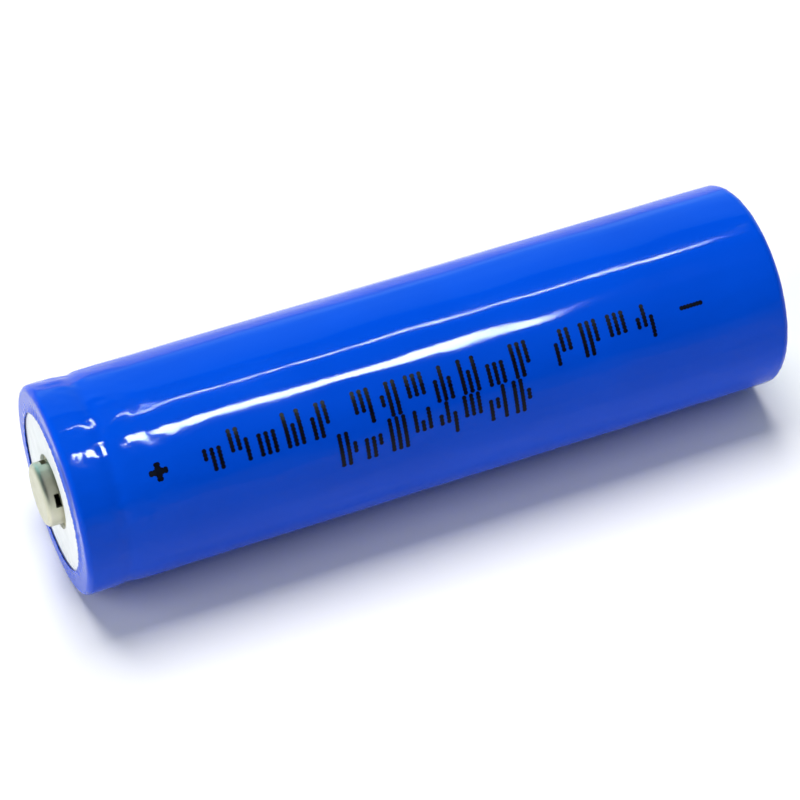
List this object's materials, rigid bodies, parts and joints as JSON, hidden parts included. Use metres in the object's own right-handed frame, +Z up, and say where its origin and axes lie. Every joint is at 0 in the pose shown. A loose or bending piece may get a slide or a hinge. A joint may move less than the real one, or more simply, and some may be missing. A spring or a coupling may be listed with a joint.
{
  "type": "cylindrical battery cell",
  "caption": "Sleeved cylindrical lithium-ion cell with a raised button terminal, lying on its side; stores charge for packs and torches.",
  "frame": {"origin": "on the line where the sleeve rests, halfway along the cell's overall length", "axes": "+X along the cell's axis, out of the negative end; the button faces -X; +Z up from the surface that the cell lies on"},
  "size_m": [0.0662, 0.0186, 0.0186],
  "materials": {
    "sleeve_film": "gloss",
    "washer_paper": "matte",
    "nickel_plate": "satin",
    "gasket_plastic": "satin",
    "fuse_polymer": "matte",
    "aluminium_sheet": "satin",
    "white_plastic": "matte",
    "amber_tape": "satin",
    "cathode_coat": "matte",
    "copper_foil": "satin",
    "graphite_coat": "matte",
    "separator_film": "satin",
    "green_tape": "satin",
    "nickel_strip": "satin"
  },
  "bodies": {
    "root": {"shrink_sleeve": "sleeve_film", "insulating_washer": "washer_paper", "steel_can": "nickel_plate", "positive_cap": "nickel_plate", "gasket": "gasket_plastic", "ptc_ring": "fuse_polymer", "vent_disc": "aluminium_sheet", "cid_insulator": "white_plastic", "contact_disc": "aluminium_sheet", "positive_tab": "aluminium_sheet", "positive_tab_tape": "amber_tape", "upper_insulator": "white_plastic", "cathode_foil": "aluminium_sheet", "cathode_coating": "cathode_coat", "anode_foil": "copper_foil", "anode_coating": "graphite_coat", "separator_inner": "separator_film", "separator_outer": "separator_film", "winding_tape": "green_tape", "centre_pin": "nickel_strip", "lower_insulator": "white_plastic", "negative_tab": "nickel_strip", "negative_tab_tape": "amber_tape"}
  },
  "joints": []
}
